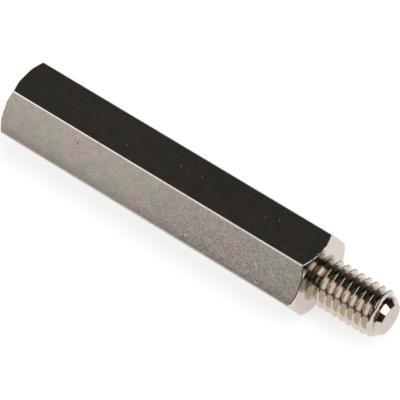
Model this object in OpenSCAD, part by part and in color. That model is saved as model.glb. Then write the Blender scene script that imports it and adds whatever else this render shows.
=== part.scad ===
// Male-female hex standoff, turned from one piece of hexagonal bar and plated.
// It lies on one flat: X runs along the axis towards the male stud, Z is up,
// and the origin is under the middle of its whole length.

/* [Hex bar] */
// Distance between two opposite flats: 8 mm bar, drawn within its minus tolerance
across_flats = 7.92; // [7:0.02:10]
// Length of the hex body, from the tapped end to the shoulder
body_length = 35; // [20:1:60]
// Width of the small land that breaks each long corner of the bar
corner_land = 0.15; // [0.05:0.05:0.3]

/* [End chamfers] */
// How far outside the flats' inscribed circle each chamfer starts, on the radius
chamfer_outset = 0.1; // [0:0.05:0.3]
// Angle between the chamfer cone and the end face
chamfer_angle = 37; // [15:1:45]

/* [Male stud] */
// Crest diameter of the male thread
thread_d = 4.86; // [4.5:0.02:5]
// Length of the stud, from the shoulder to the tip
stud_length = 8; // [6:0.1:12]
// Diameter of the flat on the stud's tip
tip_d = 3.2; // [2.6:0.1:3.8]
// Length of the cone that leads the stud into a nut
tip_cone_length = 1.05; // [0.5:0.05:1.4]

/* [Thread relief] */
// Diameter of the groove between the thread and the shoulder
relief_d = 3.7; // [3.2:0.1:3.9]
// Width of the groove, from the shoulder to where it opens to the thread
relief_width = 0.75; // [0.65:0.05:1.6]
// Radius of the fillet between the groove and the shoulder
relief_fillet = 0.6; // [0.2:0.05:0.6]
// Angle between the groove's outer cone and the stud's axis
relief_exit_angle = 60; // [30:5:75]

/* [Tapped hole] */
// Bore of the hole, which is the tap drill's diameter
tap_drill_d = 4.2; // [4:0.1:4.4]
// Depth of the full bore, measured from the end face
hole_depth = 13; // [10:0.5:16]
// Included angle of the drill's point
drill_point_angle = 118; // [90:1:140]
// Diameter of the countersink at the end face
countersink_d = 5.4; // [4.8:0.1:6]
// Included angle of the countersink
countersink_angle = 90; // [60:5:120]

/* [Hidden] */
// Facets of a full turn in the preview; the surfaces are true cylinders and cones
TURN_FACETS = 96;
// How far cutting shapes run past what they cut
OVERCUT = 1;

CORNER_RADIUS = across_flats / 2 / cos(30);
// A turned diameter that leaves a land of the wanted width on each corner
LAND_RADIUS = CORNER_RADIUS - corner_land / 2 * tan(30);
FACE_RADIUS = across_flats / 2 + chamfer_outset;
CHAMFER_RUN = (LAND_RADIUS - FACE_RADIUS) * tan(chamfer_angle);

THREAD_RADIUS = thread_d / 2;
TIP_RADIUS = tip_d / 2;
RELIEF_RADIUS = relief_d / 2;
RELIEF_EXIT_RUN = (THREAD_RADIUS - RELIEF_RADIUS) / tan(relief_exit_angle);

BORE_RADIUS = tap_drill_d / 2;
SINK_RADIUS = countersink_d / 2;
SINK_DEPTH = (SINK_RADIUS - BORE_RADIUS) / tan(countersink_angle / 2);
POINT_DEPTH = BORE_RADIUS / tan(drill_point_angle / 2);

TOTAL_LENGTH = body_length + stud_length;
AXIS_HEIGHT = across_flats / 2;

// Lays a shape built along Z, from the tapped end at 0, down on one flat along X
module lay_on_flat() {
    translate([-TOTAL_LENGTH / 2, 0, AXIS_HEIGHT])
        rotate([0, 90, 0])
            children();
}

// The stock: a plain hexagonal bar with two flats facing up and down once laid
module hex_stock() {
    rotate([0, 0, 30])
        cylinder(r = CORNER_RADIUS, h = body_length, $fn = 6);
}

// What the lathe leaves of the body: broken corners and a cone at each end
module turned_envelope() {
    rotate_extrude($fn = TURN_FACETS)
        polygon([
            [0, 0],
            [FACE_RADIUS, 0],
            [LAND_RADIUS, CHAMFER_RUN],
            [LAND_RADIUS, body_length - CHAMFER_RUN],
            [FACE_RADIUS, body_length],
            [0, body_length]
        ]);
}

module hex_body() {
    intersection() {
        hex_stock();
        turned_envelope();
    }
}

// Half section of the stud from the shoulder outwards, X on the radius and Y on the axis
module stud_outline() {
    polygon([
        [0, -OVERCUT],
        [RELIEF_RADIUS, -OVERCUT],
        [RELIEF_RADIUS, relief_width],
        [THREAD_RADIUS, relief_width + RELIEF_EXIT_RUN],
        [THREAD_RADIUS, stud_length - tip_cone_length],
        [TIP_RADIUS, stud_length],
        [0, stud_length]
    ]);
}

// The metal that blends the groove into the shoulder
module fillet_outline() {
    difference() {
        translate([0, -relief_fillet])
            square([RELIEF_RADIUS + relief_fillet, relief_fillet * 2]);
        translate([RELIEF_RADIUS + relief_fillet, relief_fillet])
            circle(r = relief_fillet, $fn = TURN_FACETS);
    }
}

module stud() {
    translate([0, 0, body_length])
        rotate_extrude($fn = TURN_FACETS) {
            stud_outline();
            fillet_outline();
        }
}

// Everything the drill and the countersink take out of the tapped end
module tapped_hole() {
    translate([0, 0, -OVERCUT])
        cylinder(r = BORE_RADIUS, h = hole_depth + OVERCUT, $fn = TURN_FACETS);
    translate([0, 0, hole_depth])
        cylinder(r1 = BORE_RADIUS, r2 = 0, h = POINT_DEPTH, $fn = TURN_FACETS);
    cylinder(r1 = SINK_RADIUS, r2 = BORE_RADIUS, h = SINK_DEPTH, $fn = TURN_FACETS);
}

module standoff() {
    color("silver")
        lay_on_flat()
            difference() {
                union() {
                    hex_body();
                    stud();
                }
                tapped_hole();
            }
}

standoff();
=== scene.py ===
"""Looks for a male-female hex standoff, turned from drawn hexagonal brass bar and nickel plated.

The part lies on one flat, with X along its axis towards the male stud and Z up.
Sizes are in millimetres, and become metres where a mesh or a material takes them up.
"""
import math

import bpy
import numpy as np
from mathutils import Matrix, Vector


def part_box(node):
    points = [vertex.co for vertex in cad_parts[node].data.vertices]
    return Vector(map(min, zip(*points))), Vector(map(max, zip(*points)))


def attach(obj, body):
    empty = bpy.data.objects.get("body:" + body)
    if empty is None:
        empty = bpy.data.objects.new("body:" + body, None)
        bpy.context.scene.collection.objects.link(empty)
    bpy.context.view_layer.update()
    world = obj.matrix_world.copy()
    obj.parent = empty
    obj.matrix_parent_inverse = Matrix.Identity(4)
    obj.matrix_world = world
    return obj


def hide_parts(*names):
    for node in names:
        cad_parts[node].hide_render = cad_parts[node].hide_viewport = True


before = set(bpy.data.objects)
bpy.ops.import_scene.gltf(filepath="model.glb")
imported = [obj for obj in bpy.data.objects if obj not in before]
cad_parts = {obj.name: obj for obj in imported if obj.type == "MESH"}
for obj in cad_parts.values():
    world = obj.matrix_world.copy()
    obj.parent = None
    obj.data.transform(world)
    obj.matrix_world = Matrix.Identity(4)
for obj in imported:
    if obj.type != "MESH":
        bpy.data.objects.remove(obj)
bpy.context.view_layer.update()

MM = 0.001
TAU = 2 * math.pi

# ---------------------------------------------------------------- sizes taken from the frame
LOW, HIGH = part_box("standoff")
END_X = LOW.x / MM
TIP_X = HIGH.x / MM
ACROSS_FLATS = (HIGH.z - LOW.z) / MM
CORNER_RADIUS = HIGH.y / MM
AXIS_HEIGHT = ACROSS_FLATS / 2

# ---------------------------------------------------------------- hex body
BODY_LENGTH = 35.0
SHOULDER_X = END_X + BODY_LENGTH
# How far outside the flats' inscribed circle each end chamfer starts, on the radius
CHAMFER_OUTSET = 0.04
FACE_RADIUS = ACROSS_FLATS / 2 + CHAMFER_OUTSET
# Angle between the chamfer's cone and the end face
CHAMFER_ANGLE = math.radians(37)
EDGE_ROUNDING = 0.05
# How much further the rounded end edges reach along the bar than across it
EDGE_STRETCH = 1.4
CORNER_FILLET = 0.1
FLAT_COLUMNS = 14
CORNER_STEPS = 4
BODY_STATIONS = 36
EDGE_STEPS = 4
# Points closer than this, in metres, are one
WELD_DISTANCE = 1e-8

# ---------------------------------------------------------------- male stud
PITCH = 0.8
FLANK_ANGLE = math.radians(30)
THREAD_RADIUS = 2.43
THREAD_ROOT_RADIUS = 1.87
THREAD_CREST_FLAT = 0.13
CREST_BLEND = 0.02
ROOT_BLEND = 0.012
# Step of the differences that give a thread's slopes, in millimetres and in radians
SLOPE_STEP = 1e-4
# A crest passes this far from the shoulder, this many degrees from the +Y side towards the top
CREST_DISTANCE = 1.112
CREST_BEARING = 31.3
THREAD_PHASE = CREST_DISTANCE - PITCH * CREST_BEARING / 360
TIP_RADIUS = 1.6
TIP_CONE_LENGTH = 1.05
TIP_ROUNDING = 0.06
THREAD_START_BLEND = 0.16
RELIEF_RADIUS = 1.85
RELIEF_WIDTH = 0.75
RELIEF_FILLET = 0.6
RELIEF_EXIT_ANGLE = math.radians(60)
GROOVE_BLEND = 0.08
FILLET_STEPS = 10
# How far inside the chamfer's start the shoulder's round rings begin
SHOULDER_INSET = 3 * EDGE_ROUNDING
STUD_COLUMNS = 128
STUD_ROWS_PER_PITCH = 40

# ---------------------------------------------------------------- tapped hole
BORE_RADIUS = 2.1
HOLE_DEPTH = 13.0
DRILL_POINT_ANGLE = math.radians(118)
SINK_RADIUS = 2.7
SINK_ANGLE = math.radians(90)
TAPPED_DEPTH = 10.4
TAP_RUN_OUT = 1.4
TAPPED_MAJOR_RADIUS = 2.5
TAPPED_GROOVE_FLAT = 0.1
HOLE_COLUMNS = 96
HOLE_ROWS_PER_PITCH = 16
MOUTH_ROUNDING = 0.05
# Width of the round ring that the end face has about the countersink
MOUTH_RING = 2 * MOUTH_ROUNDING
# Share of the drill point that is closed by a fan of triangles
APEX_SHARE = 0.1

# ---------------------------------------------------------------- finishes of one plated piece
DRAWN, TURNED, THREADED, BORED = range(4)

# ---------------------------------------------------------------- wear
# Nicks and scratches on the flats: start, end and width
BRIGHT_MARKS = [
    ((-0.52, 0.44, 7.92), (-0.50, 0.40, 7.92), 0.10),
    ((-2.90, 0.30, 7.92), (-2.78, 0.18, 7.92), 0.08),
    ((6.98, 0.16, 7.92), (7.00, 0.12, 7.92), 0.09),
    ((8.26, 0.61, 7.92), (8.30, 0.58, 7.92), 0.09),
    ((-8.48, -0.79, 7.92), (-8.46, -0.82, 7.92), 0.09),
    ((8.50, -3.38, 6.02), (8.90, -3.70, 5.46), 0.12),
    ((10.25, -3.38, 6.02), (10.72, -3.55, 5.73), 0.12),
    ((0.80, -4.12, 4.76), (1.05, -4.14, 4.71), 0.16),
    ((9.10, -4.30, 4.45), (9.35, -4.34, 4.37), 0.13),
    ((-10.10, -3.98, 4.99), (-10.02, -4.00, 4.95), 0.13),
    ((-13.20, -2.50, 7.56), (-12.98, -2.76, 7.11), 0.09),
    ((-0.36, -2.26, 7.88), (-0.20, -2.26, 7.88), 0.14),
    ((-10.75, -2.26, 7.88), (-10.60, -2.26, 7.88), 0.12),
]
DARK_MARKS = [
    ((-12.87, -2.86, 6.92), (-12.83, -2.88, 6.89), 0.16),
    ((1.20, -3.05, 6.60), (1.22, -3.06, 6.58), 0.10),
    ((-6.30, -2.75, 7.10), (-6.28, -2.77, 7.08), 0.10),
]
# Painted shade along the rims of both end faces, in the same form
RIM_MARKS = [
    ((13.25, -2.20, 7.80), (13.40, -2.05, 7.55), 0.30),
    ((13.33, -1.35, 7.86), (13.42, -1.05, 7.88), 0.12),
    ((13.47, -0.15, 7.90), (13.49, 0.30, 7.92), 0.10),
    ((13.20, -2.45, 7.57), (13.38, -2.75, 7.05), 0.16),
    ((13.42, -2.80, 6.96), (13.47, -3.10, 6.44), 0.20),
    ((13.46, -3.15, 6.36), (13.46, -3.50, 5.75), 0.26),
    ((13.46, -3.60, 5.58), (13.45, -3.85, 5.14), 0.28),
    ((13.44, -3.90, 5.06), (13.22, -4.35, 4.28), 0.20),
    ((-21.45, -2.90, 6.80), (-21.47, -3.05, 6.55), 0.14),
    ((-21.47, -3.45, 5.84), (-21.47, -3.55, 5.66), 0.16),
    ((-21.46, -3.80, 5.22), (-21.40, -4.05, 4.80), 0.12),
]
# Painted shade on a few places of the thread's crests, in the same form
CREST_MARKS = [
    ((16.22, -1.10, 6.13), (16.22, -0.20, 6.38), 0.13),
    ((17.89, -1.10, 6.13), (17.89, -0.30, 6.37), 0.13),
    ((20.37, -1.20, 6.09), (20.37, -0.10, 6.39), 0.16),
]
# Painted shade on places of the lead-in cone, in the same form
TIP_MARKS = [
    ((20.97, 0.94, 5.73), (20.97, 0.45, 5.91), 0.85),
    ((20.97, -1.23, 5.54), (20.97, -1.44, 5.35), 0.85),
]
# Shares of a mark's width, from its middle line, where it starts to fade and where it ends
MARK_FADE = (0.2, 0.6)

# ---------------------------------------------------------------- colours of the metal
# Pairs of tints that change into each other in soft patches
DRAWN_TINTS = (0.602, 0.568, 0.486, 1), (0.662, 0.552, 0.502, 1)
TURNED_TINTS = (0.628, 0.536, 0.486, 1), (0.662, 0.568, 0.517, 1)
THREAD_TINTS = (0.615, 0.548, 0.476, 1), (0.641, 0.553, 0.492, 1)
BORE_TINTS = (0.447, 0.368, 0.289, 1), (0.533, 0.456, 0.38, 1)
# Painted shade that darkens the groove, and the metal that shows low in it and in its rings
GROOVE_SHADE_TINTS = (0.12, 0.092, 0.065, 1), (0.447, 0.376, 0.285, 1)
# Painted highlight along the bar's corners
CORNER_HIGHLIGHT_TINT = (0.745, 0.67, 0.63, 1)
BRIGHT_NICK = (0.74, 0.66, 0.59, 1)
DARK_NICK = (0.10, 0.09, 0.076, 1)
# Painted shade along the end faces' rims
RIM_MARK_SHADE = (0.077, 0.064, 0.053, 1)
# What the painted shade on crests and the lead-in cone leaves of the colour under it
NO_MARK_SHADE = (1, 1, 1, 1)
CREST_MARK_SHADE = (0.12, 0.11, 0.10, 1)
TIP_MARK_SHADE = (0.50, 0.38, 0.34, 1)

# ---------------------------------------------------------------- grain of the metal
# Noises: features per metre, detail and roughness
BLOTCHES = (330.0, 3.0, 0.5)
CLOUDS = (1300.0, 3.0, 0.5)
SPECKLE = (5600.0, 3.0, 0.7)
CORNER_SPECKS = (3500.0, 3.0, 0.5)
WAVES = (500.0, 2.0, 0.5)
GRAIN = (14000.0, 3.0, 0.6)
TURNED_MOTTLE = (1500.0, 3.0, 0.5)
THREAD_MOTTLE = (2500.0, 3.0, 0.5)
THREAD_PATCHES = (700.0, 2.0, 0.5)
GROOVE_RINGS = (6500.0, 2.0, 0.5)
BORE_MOTTLE = (1800.0, 3.0, 0.5)
# Turn of some noises, in radians, which keeps their lattice out of line with the bar
ASKEW = (0.6, 0.9, 0.4)
# Scales along each axis that draw a noise out along the bar, or into rings round its axis
SPECKLE_SCALES = (0.75, 1.0, 1.0)
GRAIN_SCALES = (0.15, 1.0, 1.0)
RING_SCALES = (1.0, 0.02, 0.02)
# Levels of a mottle between which roughness goes from the first to the second of a pair
MOTTLE_LEVELS = (0.35, 0.65)
DRAWN_ROUGHNESS = (0.12, 0.15)
TURNED_ROUGHNESS = (0.10, 0.16)
THREAD_ROUGHNESS = (0.06, 0.11)
BORE_ROUGHNESS = (0.22, 0.34)
# Roughness added in bright nicks and in the groove
NICK_ROUGHNESS = 0.35
GROOVE_ROUGHNESS = 0.1
# Bumps: strength, and depth in metres
WAVE_BUMP = (1.0, 0.003 * MM)
GRAIN_BUMP = (0.2, 0.001 * MM)
TOOL_LINE_BUMP = (0.3, 0.001 * MM)
MOTTLE_BUMP = (0.5, 0.003 * MM)
RING_BUMP = (1.0, 0.04 * MM)
# Distance between two tool lines on a turned face
TOOL_LINE_PITCH = 0.09

# ---------------------------------------------------------------- where the metal is darker or brighter, mostly by painted shade and highlights
# Steps: where each starts and ends, in millimetres, and its levels before and after.
# Along the bar, on X
# Flats darker and more speckled towards the stud end
TOWARDS_STUD = (-10.0, 4.0, 0.0, 1.0)
# Painted highlight along the corners, stronger towards the stud end
CORNER_HIGHLIGHT_ALONG = (-18.0, 12.0, 0.45, 1.0)
TURNED_SHADE = (SHOULDER_X + 1, TIP_X, 1.05, 0.87)
IN_GROOVE = (SHOULDER_X + RELIEF_WIDTH, SHOULDER_X + 1.05, 1.0, 0.0)
ON_TIP = (TIP_X - 0.75, TIP_X - 0.6, 0.0, 1.0)
# Up from the floor, on Z
# Painted shade: the flats darker towards the floor and lighter towards the top
LOW_EDGE_SHADE = (4.0, 5.2, 0.76, 1.0)
FLAT_SHADE = (3.8, 8.0, 0.79, 1.04)
TOWARDS_STUD_SPECKLE = (4.2, 7.2, 0.20, 0.12)
# Painted shade in the thread's roots, by height
ROOT_SHADE_HEIGHT = (5.5, 5.75, 0.12, 0.85)
ROOT_SHADE_START = (4.6, 5.0, 0.0, 1.0)
# Painted shade in the groove, left off low down
LOW_GROOVE_UNSHADED = (4.5, 5.0, 0.75, 0.0)
# Out from the axis
# Band of radius that gets the painted corner highlight
AT_CORNER = (4.44, 4.53, 0.0, 1.0)
# Painted shade of the thread's roots, flanks and crests, by radius
AT_ROOT = (1.88, 1.93, 1.0, 0.0)
FLANK_SHADE_DEPTH = (2.02, 2.10, 0.22, 0.0)
CREST_SHADE_DEPTH = (2.34, 2.38, 0.0, 0.5)
# Bands of height in which flanks and crests get painted shade: bottom, top and soft edge
FLANK_SHADE_BAND = (5.0, 5.6, 0.1)
CREST_SHADE_BAND = (5.2, 5.95, 0.12)
# X of the normal where a surface starts to be a flank that faces the tip, and where it is one
TIP_FACING = (0.5, 0.8)
# Speckle on all the flats, to which more is added towards the stud end
BASE_SPECKLE = 0.08
# Level that the flats darken to towards the stud end
TOWARDS_STUD_LEVEL = 0.9
# Rings in the groove where the painted shade is left off, as distances from the shoulder, and their
# soft edge
UNSHADED_RINGS = [(-0.1, 0.02), (0.05, 0.08), (0.33, 0.80)]
UNSHADED_RING_EDGE = 0.02

# ---------------------------------------------------------------- camera
CAMERA_AIM = (-0.868, 0.491, AXIS_HEIGHT)
CAMERA_DISTANCE = 334.6
CAMERA_AZIMUTH = 37.08
CAMERA_ELEVATION = 52.666
CAMERA_ROLL = 0.085
CAMERA_LENS = 318.05
CAMERA_SENSOR = 36.0
# Nearest and furthest distance seen, in metres
CAMERA_CLIP = (0.01, 100.0)

# ---------------------------------------------------------------- studio, in metres
FLOOR_SIZE = 8.0
FLOOR_DROP = -0.00002
FLOOR_COLOUR = (0.40, 0.40, 0.40, 1)
# Light that the floor adds for the camera and in the metal, which brings it up to white
FLOOR_GLOW = 0.76
# Azimuth from the front and angle from overhead in degrees, distance, width, length and radiance
SOFTBOX = (101.5, 26.0, 2.5, 2.1, 3.4, 2.2)
STUDIO_DARK = (0.0395, 0.0385, 0.037)
BACKDROP_WHITE = (1, 1, 1, 1)
# Each panel's two azimuths and two elevations in degrees, each with its softness, then its light
STUDIO_PANELS = [
    ((-75.0, 10.0), (-30.0, 3.0), (7.0, 8.0), (57.0, 10.0), (1.6, 1.6, 1.6)),
    ((-30.0, 3.0), (2.0, 6.0), (23.0, 4.0), (61.0, 5.0), (0.90, 0.91, 0.92)),
    ((-30.0, 3.0), (-17.0, 8.0), (-3.0, 2.0), (10.0, 3.0), (0.455, 0.46, 0.445)),
    ((158.0, 6.0), (200.0, 1.0), (-4.0, 2.0), (12.0, 30.0), (0.35, 0.35, 0.342)),
    ((-200.0, 1.0), (-142.0, 8.0), (-4.0, 2.0), (12.0, 30.0), (0.35, 0.35, 0.342)),
]


# ================================================================ outlines
def smooth_min(a, b, blend):
    """The lesser of two heights, with the crease between them rounded over a blend."""
    overlap = np.maximum(blend - np.abs(a - b), 0.0) / blend
    return np.minimum(a, b) - overlap ** 2 * blend / 4


def smooth_max(a, b, blend):
    """The greater of two heights, with the crease between them rounded over a blend."""
    return -smooth_min(-a, -b, blend)


def ridge_radius(x, phi, phase, crest, root, crest_flat):
    """Radius of a right-handed 60 degree thread about +X, at distance x and angle phi."""
    turns = (x - phase) / PITCH - phi / TAU
    offset = np.abs((turns + 0.5) % 1.0 - 0.5) * PITCH
    flank = crest + (crest_flat / 2 - offset) / math.tan(FLANK_ANGLE)
    return smooth_min(crest, smooth_max(root, flank, ROOT_BLEND), CREST_BLEND)


def stud_radius(x, phi):
    """The male thread, cut off by the relief groove on one side and the tip cone on the other."""
    thread = ridge_radius(
        x, phi, SHOULDER_X + THREAD_PHASE, THREAD_RADIUS, THREAD_ROOT_RADIUS, THREAD_CREST_FLAT
    )
    groove_exit = RELIEF_RADIUS + (x - SHOULDER_X - RELIEF_WIDTH) * math.tan(RELIEF_EXIT_ANGLE)
    groove = smooth_max(RELIEF_RADIUS, groove_exit, GROOVE_BLEND)
    tip_cone = TIP_RADIUS + (TIP_X - x) * (THREAD_RADIUS - TIP_RADIUS) / TIP_CONE_LENGTH
    return smooth_min(smooth_min(thread, groove, CREST_BLEND), tip_cone, THREAD_START_BLEND)


def hole_radius(x, phi):
    """The female thread, with its countersunk mouth and the run-out of the tap."""
    thread_depth = TAPPED_MAJOR_RADIUS - BORE_RADIUS
    run_out = BORE_RADIUS + (END_X + TAPPED_DEPTH - x) / TAP_RUN_OUT * thread_depth
    thread = ridge_radius(x, phi, END_X, TAPPED_MAJOR_RADIUS, BORE_RADIUS, TAPPED_GROOVE_FLAT)
    cut = smooth_max(BORE_RADIUS, smooth_min(thread, run_out, CREST_BLEND), CREST_BLEND)
    countersink = SINK_RADIUS - (x - END_X) / math.tan(SINK_ANGLE / 2)
    return smooth_max(cut, countersink, CREST_BLEND)


def rounded_outline(corners, steps=EDGE_STEPS):
    """Points (x, r) and normals along a line with the solid on its right, its corners rounded."""
    points = np.array([corner[:2] for corner in corners], float)
    legs = np.diff(points, axis=0)
    legs /= np.linalg.norm(legs, axis=1)[:, None]
    normals = np.stack([-legs[:, 1], legs[:, 0]], axis=1)
    outline = [(points[0], normals[0])]
    for k in range(1, len(corners) - 1):
        rounding = corners[k][2]
        before, after = normals[k - 1], normals[k]
        turn = before[0] * after[1] - before[1] * after[0]
        bulge = -math.copysign(rounding, turn)
        bisector = (before + after) / (1 + before @ after)
        centre = points[k] - bisector * bulge
        start = math.atan2(before[1], before[0])
        sweep = math.atan2(turn, before @ after)
        for step in range(steps + 1):
            angle = start + sweep * step / steps
            normal = np.array([math.cos(angle), math.sin(angle)])
            outline.append((centre + normal * bulge, normal))
    outline.append((points[-1], normals[-1]))
    return outline


# ================================================================ meshing
class Skin:
    """Collects patches of vertices with true normals, then welds them into one closed mesh."""

    def __init__(self):
        self.points = []
        self.normals = []
        self.faces = []
        self.finishes = []
        self.count = 0

    def add_vertices(self, points, normals):
        """Adds an array of points and returns their numbers, in the array's own shape."""
        flat = points.reshape(-1, 3)
        numbers = self.count + np.arange(len(flat)).reshape(points.shape[:-1])
        self.points.append(flat)
        self.normals.append(np.broadcast_to(normals, points.shape).reshape(-1, 3))
        self.count += len(flat)
        return numbers

    def add_faces(self, corners, finish):
        """Adds rows of vertex numbers, all with one finish."""
        self.faces.extend(corners.tolist())
        self.finishes.extend([finish] * len(corners))

    def add_grid(self, points, normals, finish, closed):
        """Quads over a grid of rows and columns, whose last column may join the first."""
        numbers = self.add_vertices(points, normals)
        if closed:
            numbers = np.concatenate([numbers, numbers[:, :1]], axis=1)
        quads = np.stack(
            [numbers[:-1, :-1], numbers[:-1, 1:], numbers[1:, 1:], numbers[1:, :-1]], axis=-1
        )
        self.add_faces(quads.reshape(-1, 4), finish)

    def add_stitches(self, ring_a, ring_b, normal, finish):
        """Triangles across the gap between two closed rings in one plane."""
        numbers_a = self.add_vertices(ring_a, normal)
        numbers_b = self.add_vertices(ring_b, normal)
        angles_a = ring_angles(ring_a)
        angles_b = ring_angles(ring_b)
        i, j = 0, 0
        corners = []
        while i < len(ring_a) or j < len(ring_b):
            here_a = numbers_a[i % len(ring_a)]
            here_b = numbers_b[j % len(ring_b)]
            if j == len(ring_b) or (i < len(ring_a) and angles_a[i + 1] <= angles_b[j + 1]):
                i += 1
                corners.append((here_a, numbers_a[i % len(ring_a)], here_b))
            else:
                j += 1
                corners.append((here_a, numbers_b[j % len(ring_b)], here_b))
        self.add_faces(np.array(corners), finish)

    def add_disc(self, ring, centre, normals, centre_normal, finish):
        """A fan from a closed ring to one point."""
        numbers = self.add_vertices(ring, normals)
        middle = self.add_vertices(np.array([centre]), centre_normal)[0]
        corners = [(a, b, middle) for a, b in zip(numbers, np.roll(numbers, -1))]
        self.add_faces(np.array(corners), finish)

    def weld(self):
        """Points in metres, their unit normals, and the point that each vertex becomes."""
        points = np.concatenate(self.points) * MM
        normals = np.concatenate(self.normals)
        grid = np.round(points / WELD_DISTANCE).astype(np.int64)
        _, first, merged = np.unique(grid, axis=0, return_index=True, return_inverse=True)
        normals = normals[first] / np.linalg.norm(normals[first], axis=1)[:, None]
        return points[first], normals, merged.reshape(-1)

    def make_mesh(self, name):
        """Welds points that coincide, drops collapsed faces and turns every face outwards."""
        points, normals, merged = self.weld()
        faces = []
        finishes = []
        for face, finish in zip(self.faces, self.finishes):
            corners = list(dict.fromkeys(merged[face].tolist()))
            if len(corners) < 3:
                continue
            if winds_inwards(corners, points, normals):
                corners.reverse()
            faces.append(corners)
            finishes.append(finish)
        mesh = bpy.data.meshes.new(name)
        mesh.from_pydata(points.tolist(), [], faces)
        mesh.polygons.foreach_set("material_index", finishes)
        mesh.polygons.foreach_set("use_smooth", [True] * len(faces))
        mesh.normals_split_custom_set_from_vertices(normals.tolist())
        mesh.update()
        return mesh


def winds_inwards(corners, points, normals):
    """Whether a triangle or quad faces against the normals of its corners."""
    edge_a = points[corners[-2]] - points[corners[0]]
    edge_b = points[corners[-1]] - points[corners[-3]]
    return np.cross(edge_a, edge_b) @ normals[corners].sum(axis=0) < 0


def ring_angles(ring):
    """Angles of a ring's points about the axis, rising from the first and ending a turn later."""
    angles = np.arctan2(ring[:, 2] - AXIS_HEIGHT, ring[:, 1])
    rise = (np.diff(np.append(angles, angles[0])) + math.pi) % TAU - math.pi
    return np.concatenate([[angles[0]], angles[0] + np.cumsum(rise)])


def on_axis(x, y, z):
    """Points from distances along, beside and above the axis."""
    return np.stack(np.broadcast_arrays(x, y, z + AXIS_HEIGHT), axis=-1)


def column_angles(columns):
    """Even angles round a full turn."""
    return np.arange(columns) * TAU / columns


def revolved(outline, columns):
    """Points and normals of an outline turned about the axis."""
    phi = column_angles(columns)
    spots = np.array([spot for spot, _ in outline])
    slopes = np.array([slope for _, slope in outline])
    x, r = spots[:, :1], spots[:, 1:]
    along, out = slopes[:, :1], slopes[:, 1:]
    points = on_axis(x + 0 * phi, r * np.cos(phi), r * np.sin(phi))
    normals = np.stack([along + 0 * phi, out * np.cos(phi), out * np.sin(phi)], axis=-1)
    return points, normals


def helical(radius, x_start, x_end, columns, rows_per_pitch):
    """A threaded skin whose rows follow the helix and gather into a plain ring at either end."""
    phi = np.arange(columns + 1) * TAU / columns
    spacing = PITCH / rows_per_pitch
    rows = math.ceil((x_end - x_start + PITCH) / spacing)
    start = x_start - PITCH + spacing * np.arange(rows + 1)[:, None]
    x = np.clip(start + PITCH * phi / TAU, x_start, x_end)
    r = radius(x, phi)
    along = (radius(x + SLOPE_STEP, phi) - radius(x - SLOPE_STEP, phi)) / (2 * SLOPE_STEP)
    around = (radius(x, phi + SLOPE_STEP) - radius(x, phi - SLOPE_STEP)) / (2 * SLOPE_STEP)
    points = on_axis(x, r * np.cos(phi), r * np.sin(phi))
    normals = np.stack(
        [
            -along,
            np.cos(phi) + around / r * np.sin(phi),
            np.sin(phi) - around / r * np.cos(phi),
        ],
        axis=-1,
    )
    return points, normals


# ================================================================ hex body
def hexagon():
    """One turn of the bar's section, with a rounded land on each corner: points and normals."""
    inradius = ACROSS_FLATS / 2
    corner_turn = math.pi / 6
    flat_end = (CORNER_RADIUS - inradius * math.cos(corner_turn)) / math.sin(corner_turn)
    half_flat = flat_end - CORNER_FILLET * math.tan(corner_turn / 2)
    spots = []
    slopes = []
    for side in range(6):
        facing = corner_turn + side * math.pi / 3
        normal = np.array([math.cos(facing), math.sin(facing)])
        tangent = np.array([-normal[1], normal[0]])
        for t in np.linspace(-half_flat, half_flat, FLAT_COLUMNS + 1):
            spots.append(normal * inradius + tangent * t)
            slopes.append(normal)
        next_facing = facing + 2 * corner_turn
        next_normal = np.array([math.cos(next_facing), math.sin(next_facing)])
        next_tangent = np.array([-next_normal[1], next_normal[0]])
        centres = [
            normal * (inradius - CORNER_FILLET) + tangent * half_flat,
            next_normal * (inradius - CORNER_FILLET) - next_tangent * half_flat,
        ]
        for half, centre in enumerate(centres):
            for step in range(1 - half, CORNER_STEPS + 1 - half):
                angle = facing + corner_turn * (half + step / CORNER_STEPS)
                slope = np.array([math.cos(angle), math.sin(angle)])
                spots.append(centre + slope * CORNER_FILLET)
                slopes.append(slope)
    return np.array(spots), np.array(slopes)


def chamfered_end(reach):
    """Rows from the bar's side to its end face, round a chamfer that dies out on each flat."""
    sides, slopes = hexagon()
    radius = np.linalg.norm(sides, axis=1)
    outward = sides / radius[:, None]
    lean = math.atan(math.tan(CHAMFER_ANGLE) / EDGE_STRETCH)
    cone = np.array([math.cos(lean), math.sin(lean)])
    inner = radius - EDGE_ROUNDING
    inset = cone @ np.array([reach / EDGE_STRETCH, FACE_RADIUS]) - EDGE_ROUNDING
    face_x = reach / EDGE_STRETCH - EDGE_ROUNDING
    first_x = np.minimum((inset - cone[1] * inner) / cone[0], face_x)
    face_radius = (inset - cone[0] * face_x) / cone[1]
    second_r = np.minimum(face_radius, inner)
    on_cone = np.clip((inner - face_radius) / EDGE_ROUNDING, 0, 1)
    points = []
    normals = []
    # The first half of the rows rounds the side into the cone, the second the cone into the face
    for step in range(2 * EDGE_STEPS + 2):
        near_side = step <= EDGE_STEPS
        share = step / EDGE_STEPS if near_side else (step - EDGE_STEPS - 1) / EDGE_STEPS
        start = math.pi / 2 if near_side else lean
        end = lean if near_side else 0.0
        angle = start + (end - start) * share
        x = ((first_x if near_side else face_x) + EDGE_ROUNDING * math.cos(angle)) * EDGE_STRETCH
        r = (inner if near_side else second_r) + EDGE_ROUNDING * math.sin(angle)
        turned = (share if near_side else 1.0) * on_cone
        sideways = slopes + (outward - slopes) * turned[:, None]
        sideways /= np.linalg.norm(sideways, axis=1)[:, None]
        points.append(on_axis(x + 0 * radius, outward[:, 0] * r, outward[:, 1] * r))
        normals.append(
            np.stack(
                [
                    math.cos(angle) / EDGE_STRETCH + 0 * radius,
                    sideways[:, 0] * math.sin(angle),
                    sideways[:, 1] * math.sin(angle),
                ],
                axis=-1,
            )
        )
    return np.array(points), np.array(normals)


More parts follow.
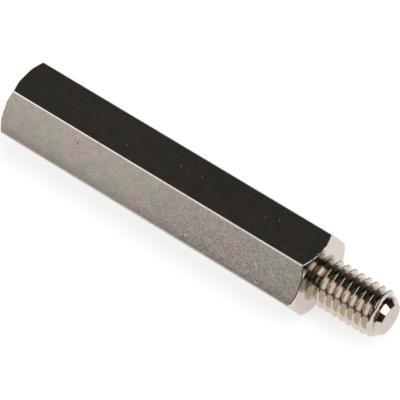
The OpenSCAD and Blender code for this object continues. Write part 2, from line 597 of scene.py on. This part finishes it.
def add_body(skin):
    """The bar's flats, both chamfered ends and the outer part of each end face."""
    half = BODY_LENGTH / 2
    middle = SHOULDER_X - half
    away = np.array([1.0, 0.0, 0.0])
    points, normals = chamfered_end(half)
    male_end = points + away * middle
    female_end = points * (-1, 1, 1) + away * middle
    share = np.linspace(0, 1, BODY_STATIONS)[:, None, None]
    flats = female_end[0] + (male_end[0] - female_end[0]) * share
    skin.add_grid(flats, normals[0], DRAWN, closed=True)
    skin.add_grid(male_end, normals, TURNED, closed=True)
    skin.add_grid(female_end, normals * (-1, 1, 1), TURNED, closed=True)
    return male_end[-1], female_end[-1]


# ================================================================ stud and hole
def add_stud(skin, shoulder_edge):
    """Shoulder face, relief groove, threaded length, lead-in cone and tip."""
    tip_slope = math.atan2(THREAD_RADIUS - TIP_RADIUS, TIP_CONE_LENGTH)
    tip_setback = TIP_ROUNDING * math.tan((math.pi / 2 - tip_slope) / 2)
    thread_end = TIP_X - tip_setback * math.cos(tip_slope)
    groove_start = SHOULDER_X + RELIEF_FILLET
    outer_radius = FACE_RADIUS - SHOULDER_INSET

    shoulder = [
        (SHOULDER_X, outer_radius),
        (SHOULDER_X, RELIEF_RADIUS, RELIEF_FILLET),
        (groove_start, RELIEF_RADIUS),
    ]
    points, normals = revolved(rounded_outline(shoulder, steps=FILLET_STEPS), STUD_COLUMNS)
    skin.add_grid(points[:2], normals[:2], TURNED, closed=True)
    skin.add_grid(points[1:], normals[1:], THREADED, closed=True)
    skin.add_stitches(shoulder_edge, points[0], (1, 0, 0), TURNED)

    points, normals = helical(
        stud_radius, groove_start, thread_end, STUD_COLUMNS, STUD_ROWS_PER_PITCH
    )
    skin.add_grid(points, normals, THREADED, closed=False)

    tip = [
        (thread_end, TIP_RADIUS + tip_setback * math.sin(tip_slope)),
        (TIP_X, TIP_RADIUS, TIP_ROUNDING),
        (TIP_X, TIP_RADIUS / 2),
    ]
    points, normals = revolved(rounded_outline(tip), STUD_COLUMNS)
    skin.add_grid(points, normals, TURNED, closed=True)
    skin.add_disc(points[-1], (TIP_X, 0, AXIS_HEIGHT), normals[-1], (1, 0, 0), TURNED)


def add_hole(skin, end_edge):
    """Countersunk mouth, tapped length, plain bore and drill point."""
    mouth_setback = MOUTH_ROUNDING * math.tan((math.pi / 2 - SINK_ANGLE / 2) / 2)
    mouth_x = END_X + mouth_setback * math.cos(SINK_ANGLE / 2)
    mouth = [
        (mouth_x, SINK_RADIUS - mouth_setback * math.sin(SINK_ANGLE / 2)),
        (END_X, SINK_RADIUS, MOUTH_ROUNDING),
        (END_X, SINK_RADIUS + MOUTH_RING),
    ]
    points, normals = revolved(rounded_outline(mouth), HOLE_COLUMNS)
    skin.add_grid(points, normals, TURNED, closed=True)
    skin.add_stitches(end_edge, points[-1], (-1, 0, 0), TURNED)

    tapped_end = END_X + TAPPED_DEPTH + TAP_RUN_OUT
    points, normals = helical(hole_radius, mouth_x, tapped_end, HOLE_COLUMNS, HOLE_ROWS_PER_PITCH)
    skin.add_grid(points, -normals, BORED, closed=False)

    drilled_x = END_X + HOLE_DEPTH
    apex_x = drilled_x + BORE_RADIUS / math.tan(DRILL_POINT_ANGLE / 2)
    drilled = [
        (apex_x - (apex_x - drilled_x) * APEX_SHARE, BORE_RADIUS * APEX_SHARE),
        (drilled_x, BORE_RADIUS, MOUTH_ROUNDING),
        (tapped_end, BORE_RADIUS),
    ]
    points, normals = revolved(rounded_outline(drilled), HOLE_COLUMNS)
    skin.add_grid(points, normals, BORED, closed=True)
    skin.add_disc(points[0], (apex_x, 0, AXIS_HEIGHT), normals[0], (-1, 0, 0), BORED)


def build_standoff(materials):
    """The whole part as one closed mesh, which stands for the plain solid."""
    skin = Skin()
    shoulder_edge, end_edge = add_body(skin)
    add_stud(skin, shoulder_edge)
    add_hole(skin, end_edge)
    mesh = skin.make_mesh("standoff_plated")
    for material in materials:
        mesh.materials.append(material)
    piece = bpy.data.objects.new("standoff_plated", mesh)
    bpy.context.scene.collection.objects.link(piece)
    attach(piece, "root")
    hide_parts("standoff")


# ================================================================ materials
class Nodes:
    """Short names for building one node tree."""

    def __init__(self, tree):
        self.tree = tree
        tree.nodes.clear()

    def add(self, kind, **settings):
        """A new node with the settings given."""
        node = self.tree.nodes.new(kind)
        for key, value in settings.items():
            setattr(node, key, value)
        return node

    def link(self, source, target):
        """Joins an output to an input."""
        self.tree.links.new(source, target)

    def feed(self, socket, value):
        """Sets a socket from a number, a colour or another socket."""
        if isinstance(value, bpy.types.NodeSocket):
            self.link(value, socket)
        elif value is not None:
            socket.default_value = value

    def math(self, operation, a, b=None, clamp=False):
        """A sum, product or other operation on one or two numbers."""
        node = self.add("ShaderNodeMath", operation=operation, use_clamp=clamp)
        self.feed(node.inputs[0], a)
        self.feed(node.inputs[1], b)
        return node.outputs[0]

    def vector(self, operation, a, b):
        """A vector operation, whose result is a number where the operation gives one."""
        node = self.add("ShaderNodeVectorMath", operation=operation)
        self.feed(node.inputs[0], a)
        self.feed(node.inputs["Scale" if operation == "SCALE" else 1], b)
        return node.outputs["Value" if operation in ("DOT_PRODUCT", "DISTANCE") else "Vector"]

    def product(self, *values):
        """Numbers multiplied together."""
        result = values[0]
        for value in values[1:]:
            result = self.math("MULTIPLY", result, value)
        return result

    def greatest(self, *values):
        """The greatest of some numbers."""
        result = values[0]
        for value in values[1:]:
            result = self.math("MAXIMUM", result, value)
        return result

    def parts(self, vector):
        """The X, Y and Z of a vector."""
        node = self.add("ShaderNodeSeparateXYZ")
        self.link(vector, node.inputs[0])
        return node.outputs

    def ramp(self, value, low, high, to_low=0.0, to_high=1.0):
        """A smooth step of a value from one level to another."""
        node = self.add("ShaderNodeMapRange", interpolation_type="SMOOTHSTEP")
        for socket, given in zip(node.inputs, (value, low, high, to_low, to_high)):
            self.feed(socket, given)
        return node.outputs[0]

    def step(self, distance, start, end, before, after):
        """The same for a distance, with the start and end of the step in millimetres."""
        return self.ramp(distance, start * MM, end * MM, before, after)

    def band(self, distance, low, high, edge):
        """1 between two distances in millimetres, and falling to 0 over an edge outside them."""
        up = self.step(distance, low - edge, low, 0.0, 1.0)
        down = self.step(distance, high, high + edge, 1.0, 0.0)
        return self.product(up, down)

    def noise(self, place, scale, detail, roughness):
        """Cloudy noise between 0 and 1."""
        node = self.add("ShaderNodeTexNoise")
        self.feed(node.inputs["Vector"], place)
        node.inputs["Scale"].default_value = scale
        node.inputs["Detail"].default_value = detail
        node.inputs["Roughness"].default_value = roughness
        return node.outputs["Fac"]

    def blend(self, share, a, b, kind="MIX"):
        """A colour between two, at a share from the first to the second."""
        node = self.add("ShaderNodeMix", data_type="RGBA", blend_type=kind)
        self.feed(node.inputs["Factor"], share)
        self.feed(node.inputs["A"], a)
        self.feed(node.inputs["B"], b)
        return node.outputs["Result"]

    def coordinates(self, scale=(1.0, 1.0, 1.0), turn=(0.0, 0.0, 0.0)):
        """Object coordinates, scaled along each axis and then turned."""
        node = self.add("ShaderNodeMapping", vector_type="POINT")
        self.link(self.add("ShaderNodeTexCoord").outputs["Object"], node.inputs["Vector"])
        node.inputs["Scale"].default_value = scale
        node.inputs["Rotation"].default_value = turn
        return node.outputs["Vector"]

    def bump(self, height, strength, distance, normal=None):
        """A normal tilted by a height, on top of another normal where one is given."""
        node = self.add("ShaderNodeBump")
        node.inputs["Strength"].default_value = strength
        node.inputs["Distance"].default_value = distance
        self.feed(node.inputs["Height"], height)
        if normal is not None:
            self.link(normal, node.inputs["Normal"])
        return node.outputs["Normal"]


def plated_metal(name, finish):
    """A metallic material whose colour, roughness and normal come from a finish function."""
    material = bpy.data.materials.new(name)
    material.use_nodes = True
    nodes = Nodes(material.node_tree)
    shader = nodes.add("ShaderNodeBsdfPrincipled")
    output = nodes.add("ShaderNodeOutputMaterial")
    nodes.link(shader.outputs["BSDF"], output.inputs["Surface"])
    shader.inputs["Metallic"].default_value = 1.0
    colour, roughness, normal = finish(nodes)
    nodes.feed(shader.inputs["Base Color"], colour)
    nodes.feed(shader.inputs["Roughness"], roughness)
    nodes.link(normal, shader.inputs["Normal"])
    return material


def marks(nodes, place, lines):
    """1 on any of a list of short lines, each with a start, an end and a width in millimetres."""
    fade_start, fade_end = MARK_FADE
    found = 0.0
    for start, end, width in lines:
        start = Vector(start) * MM
        run = Vector(end) * MM - start
        from_start = nodes.vector("SUBTRACT", place, start)
        projected = nodes.vector("DOT_PRODUCT", from_start, run)
        along = nodes.math("DIVIDE", projected, run.length_squared, clamp=True)
        on_line = nodes.vector("SCALE", run, along)
        distance = nodes.vector("DISTANCE", from_start, on_line)
        near = nodes.step(distance, width * fade_start, width * fade_end, 1.0, 0.0)
        found = nodes.greatest(near, found)
    return found


def radius_from_axis(nodes, y, z):
    """Distance of a point from the bar's axis."""
    height = nodes.math("SUBTRACT", z, AXIS_HEIGHT * MM)
    squares = nodes.math("ADD", nodes.product(y, y), nodes.product(height, height))
    return nodes.math("SQRT", squares)


def drawn_colour(nodes, place, speckle):
    """Tinted blotches with painted shade towards the floor, darker towards the stud end, and a
    painted highlight along the corners.
    """
    x, y, z = nodes.parts(place)
    askew = nodes.coordinates(turn=ASKEW)
    blotches = nodes.ramp(nodes.noise(askew, *BLOTCHES), 0.40, 0.60)
    colour = nodes.blend(blotches, *DRAWN_TINTS)

    towards_stud = nodes.step(x, *TOWARDS_STUD)
    # Painted shade towards the floor, and darker towards the stud end
    shade = nodes.product(
        nodes.step(z, *LOW_EDGE_SHADE),
        nodes.step(z, *FLAT_SHADE),
        nodes.ramp(towards_stud, 0.0, 1.0, 1.0, TOWARDS_STUD_LEVEL),
        nodes.ramp(nodes.noise(askew, *CLOUDS), 0.3, 0.7, 0.94, 1.04),
    )
    colour = nodes.vector("SCALE", colour, shade)
    speckled = nodes.math("ADD", nodes.product(towards_stud, nodes.step(z, *TOWARDS_STUD_SPECKLE)), BASE_SPECKLE)
    colour = nodes.blend(speckled, colour, speckle, "OVERLAY")

    # Painted highlight along the bar's corners
    corner_highlight = nodes.product(
        nodes.step(x, *CORNER_HIGHLIGHT_ALONG),
        nodes.ramp(nodes.noise(place, *CORNER_SPECKS), 0.36, 0.50, 0.55, 1.0),
        nodes.step(radius_from_axis(nodes, y, z), *AT_CORNER),
    )
    return nodes.blend(corner_highlight, colour, CORNER_HIGHLIGHT_TINT)


def drawn_finish(nodes):
    """Satin flats of the drawn bar, with a fine speckle and a few nicks."""
    place = nodes.coordinates()
    streaks = nodes.coordinates(SPECKLE_SCALES, ASKEW)
    speckle = nodes.ramp(nodes.noise(streaks, *SPECKLE), 0.34, 0.66)
    bright = marks(nodes, place, BRIGHT_MARKS)
    colour = drawn_colour(nodes, place, speckle)
    colour = nodes.blend(bright, colour, BRIGHT_NICK)
    colour = nodes.blend(marks(nodes, place, DARK_MARKS), colour, DARK_NICK)
    roughness = nodes.ramp(speckle, 0.0, 1.0, *DRAWN_ROUGHNESS)
    roughness = nodes.math("ADD", roughness, nodes.product(bright, NICK_ROUGHNESS))
    normal = nodes.bump(nodes.noise(place, *WAVES), *WAVE_BUMP)
    grain = nodes.noise(nodes.coordinates(GRAIN_SCALES), *GRAIN)
    normal = nodes.bump(grain, *GRAIN_BUMP, normal)
    return colour, roughness, normal


def turned_finish(nodes):
    """Bright turned faces with fine concentric tool lines and painted shade along the rims."""
    place = nodes.coordinates()
    x, y, z = nodes.parts(place)
    mottle = nodes.noise(place, *TURNED_MOTTLE)
    colour = nodes.blend(mottle, *TURNED_TINTS)
    colour = nodes.vector("SCALE", colour, nodes.step(x, *TURNED_SHADE))
    # Painted shade along the rims
    colour = nodes.blend(marks(nodes, place, RIM_MARKS), colour, RIM_MARK_SHADE)
    roughness = nodes.ramp(mottle, *MOTTLE_LEVELS, *TURNED_ROUGHNESS)
    turns = nodes.product(radius_from_axis(nodes, y, z), TAU / (TOOL_LINE_PITCH * MM))
    normal = nodes.bump(nodes.math("SINE", turns), *TOOL_LINE_BUMP)
    normal = nodes.bump(mottle, *MOTTLE_BUMP, normal)
    return colour, roughness, normal


def thread_shade(nodes, y, z):
    """Share of colour that painted shade leaves the thread: less in its roots, low on its flanks and
    on its crests.
    """
    radius = radius_from_axis(nodes, y, z)
    facing = nodes.parts(nodes.add("ShaderNodeNewGeometry").outputs["Normal"])["X"]
    flank = nodes.product(
        nodes.ramp(facing, *TIP_FACING),
        nodes.step(radius, *FLANK_SHADE_DEPTH),
        nodes.band(z, *FLANK_SHADE_BAND),
    )
    crest = nodes.product(nodes.step(radius, *CREST_SHADE_DEPTH), nodes.band(z, *CREST_SHADE_BAND))
    root = nodes.product(
        nodes.step(radius, *AT_ROOT),
        nodes.step(z, *ROOT_SHADE_HEIGHT),
        nodes.step(z, *ROOT_SHADE_START),
    )
    return nodes.math("SUBTRACT", 1.0, nodes.greatest(root, flank, crest))


def thread_colour(nodes, place, shade):
    """Bright plating in two soft tints, with painted shade on a few crests and on the lead-in cone.
    """
    patches = nodes.ramp(nodes.noise(place, *THREAD_PATCHES), 0.4, 0.6)
    bright = nodes.blend(patches, *THREAD_TINTS)
    # Painted shade on a few crests and on the lead-in cone
    marked_shade = nodes.blend(marks(nodes, place, CREST_MARKS), NO_MARK_SHADE, CREST_MARK_SHADE)
    marked_shade = nodes.blend(marks(nodes, place, TIP_MARKS), marked_shade, TIP_MARK_SHADE)
    return nodes.vector("SCALE", nodes.vector("MULTIPLY", bright, marked_shade), shade)


def groove_colour(nodes, x, z, rings):
    """Painted shade that darkens the groove, left off low in the groove and in a few rings."""
    unshaded = nodes.step(z, *LOW_GROOVE_UNSHADED)
    for start, end in UNSHADED_RINGS:
        ring = nodes.band(x, SHOULDER_X + start, SHOULDER_X + end, UNSHADED_RING_EDGE)
        unshaded = nodes.greatest(unshaded, ring)
    shown = nodes.product(unshaded, nodes.ramp(rings, 0.36, 0.58, 0.6, 1.0))
    return nodes.blend(shown, *GROOVE_SHADE_TINTS)


def threaded_finish(nodes):
    """Bright thread with painted shade in its roots, and a groove before the shoulder that painted
    shade darkens, with tool rings.
    """
    place = nodes.coordinates()
    x, y, z = nodes.parts(place)
    in_groove = nodes.step(x, *IN_GROOVE)
    on_tip = nodes.step(x, *ON_TIP)
    shade = nodes.greatest(thread_shade(nodes, y, z), in_groove, on_tip)
    rings = nodes.noise(nodes.coordinates(RING_SCALES), *GROOVE_RINGS)
    thread = thread_colour(nodes, place, shade)
    colour = nodes.blend(in_groove, thread, groove_colour(nodes, x, z, rings))
    mottle = nodes.noise(place, *THREAD_MOTTLE)
    roughness = nodes.ramp(mottle, *MOTTLE_LEVELS, *THREAD_ROUGHNESS)
    roughness = nodes.math("ADD", roughness, nodes.product(in_groove, GROOVE_ROUGHNESS))
    normal = nodes.bump(nodes.product(rings, in_groove), *RING_BUMP)
    normal = nodes.bump(mottle, *MOTTLE_BUMP, normal)
    return colour, roughness, normal


def bored_finish(nodes):
    """Duller plating inside the hole."""
    mottle = nodes.noise(nodes.coordinates(), *BORE_MOTTLE)
    colour = nodes.blend(mottle, *BORE_TINTS)
    roughness = nodes.ramp(mottle, *MOTTLE_LEVELS, *BORE_ROUGHNESS)
    normal = nodes.bump(mottle, *MOTTLE_BUMP)
    return colour, roughness, normal


# ================================================================ studio
def floor_paper():
    """A paper that takes shadows, and glows up to white for the camera and in the metal."""
    material = bpy.data.materials.new("floor_paper")
    material.use_nodes = True
    nodes = Nodes(material.node_tree)
    path = nodes.add("ShaderNodeLightPath").outputs
    matt = nodes.add("ShaderNodeBsdfDiffuse")
    matt.inputs["Color"].default_value = FLOOR_COLOUR
    glow = nodes.add("ShaderNodeEmission")
    seen = nodes.greatest(path["Is Camera Ray"], path["Is Glossy Ray"], path["Is Transmission Ray"])
    nodes.link(nodes.product(seen, FLOOR_GLOW), glow.inputs["Strength"])
    both = nodes.add("ShaderNodeAddShader")
    nodes.link(matt.outputs[0], both.inputs[0])
    nodes.link(glow.outputs[0], both.inputs[1])
    output = nodes.add("ShaderNodeOutputMaterial")
    nodes.link(both.outputs[0], output.inputs["Surface"])
    return material


def make_floor():
    """A large flat floor just under the part."""
    size = FLOOR_SIZE / 2
    mesh = bpy.data.meshes.new("floor")
    corners = [(-size, -size), (size, -size), (size, size), (-size, size)]
    mesh.from_pydata([(x, y, FLOOR_DROP) for x, y in corners], [], [(0, 1, 2, 3)])
    mesh.materials.append(floor_paper())
    floor = bpy.data.objects.new("floor", mesh)
    bpy.context.scene.collection.objects.link(floor)


def direction(azimuth, elevation):
    """Unit vector from degrees of azimuth, 0 at the front and 90 to the right, and of elevation."""
    azimuth = math.radians(azimuth)
    elevation = math.radians(elevation)
    return Vector((
        math.sin(azimuth) * math.cos(elevation),
        -math.cos(azimuth) * math.cos(elevation),
        math.sin(elevation),
    ))


def make_softbox(name, azimuth, tilt, distance, width, length, radiance):
    """A rectangular lamp that faces the part."""
    towards = direction(azimuth, 90 - tilt)
    lamp = bpy.data.lights.new(name, "AREA")
    lamp.shape = "RECTANGLE"
    lamp.size = width
    lamp.size_y = length
    lamp.energy = radiance * math.pi * width * length
    box = bpy.data.objects.new(name, lamp)
    turn = towards.to_track_quat("Z", "Y").to_matrix().to_4x4()
    box.matrix_world = Matrix.Translation(towards * distance) @ turn
    bpy.context.scene.collection.objects.link(box)


def soft_edge(nodes, angle, edge, to_low, to_high):
    """A smooth step between two levels, about an angle given with its softness."""
    middle, softness = edge
    start = math.radians(middle - softness)
    end = math.radians(middle + softness)
    return nodes.ramp(angle, start, end, to_low, to_high)


def panel_light(nodes, azimuth, elevation, panel):
    """The light of one soft-edged studio panel in a direction."""
    left, right, low, high, light = panel
    shares = [
        soft_edge(nodes, azimuth, left, 0.0, 1.0),
        soft_edge(nodes, azimuth, right, 1.0, 0.0),
        soft_edge(nodes, elevation, low, 0.0, 1.0),
        soft_edge(nodes, elevation, high, 1.0, 0.0),
    ]
    for share in shares:
        light = nodes.vector("SCALE", light, share)
    return light


def make_world():
    """Dim studio walls with a few pale panels, and a white backdrop for the camera."""
    world = bpy.data.worlds.new("studio")
    bpy.context.scene.world = world
    world.use_nodes = True
    nodes = Nodes(world.node_tree)
    x, y, z = nodes.parts(nodes.add("ShaderNodeTexCoord").outputs["Generated"])
    azimuth = nodes.math("ARCTAN2", x, nodes.product(y, -1.0))
    elevation = nodes.math("ARCSINE", z)
    light = STUDIO_DARK
    for panel in STUDIO_PANELS:
        light = nodes.vector("ADD", panel_light(nodes, azimuth, elevation, panel), light)
    walls = nodes.add("ShaderNodeBackground")
    nodes.link(light, walls.inputs["Color"])
    backdrop = nodes.add("ShaderNodeBackground")
    backdrop.inputs["Color"].default_value = BACKDROP_WHITE
    shown = nodes.add("ShaderNodeMixShader")
    nodes.link(nodes.add("ShaderNodeLightPath").outputs["Is Camera Ray"], shown.inputs["Fac"])
    nodes.link(walls.outputs[0], shown.inputs[1])
    nodes.link(backdrop.outputs[0], shown.inputs[2])
    output = nodes.add("ShaderNodeOutputWorld")
    nodes.link(shown.outputs[0], output.inputs["Surface"])


def make_camera():
    """Looks down on the part from its front right, with a long lens from a short distance off."""
    back = direction(CAMERA_AZIMUTH, CAMERA_ELEVATION)
    camera = bpy.data.cameras.new("camera")
    camera.lens = CAMERA_LENS
    camera.sensor_width = CAMERA_SENSOR
    camera.clip_start, camera.clip_end = CAMERA_CLIP
    holder = bpy.data.objects.new("camera", camera)
    place = (Vector(CAMERA_AIM) + back * CAMERA_DISTANCE) * MM
    turn = back.to_track_quat("Z", "Y").to_matrix().to_4x4()
    roll = Matrix.Rotation(math.radians(CAMERA_ROLL), 4, "Z")
    holder.matrix_world = Matrix.Translation(place) @ turn @ roll
    bpy.context.scene.collection.objects.link(holder)
    bpy.context.scene.camera = holder


finishes = [
    plated_metal("drawn_nickel", drawn_finish),
    plated_metal("turned_nickel", turned_finish),
    plated_metal("threaded_nickel", threaded_finish),
    plated_metal("bored_nickel", bored_finish),
]
build_standoff(finishes)
make_floor()
make_softbox("softbox", *SOFTBOX)
make_world()
make_camera()
bpy.context.scene.view_settings.view_transform = "Standard"
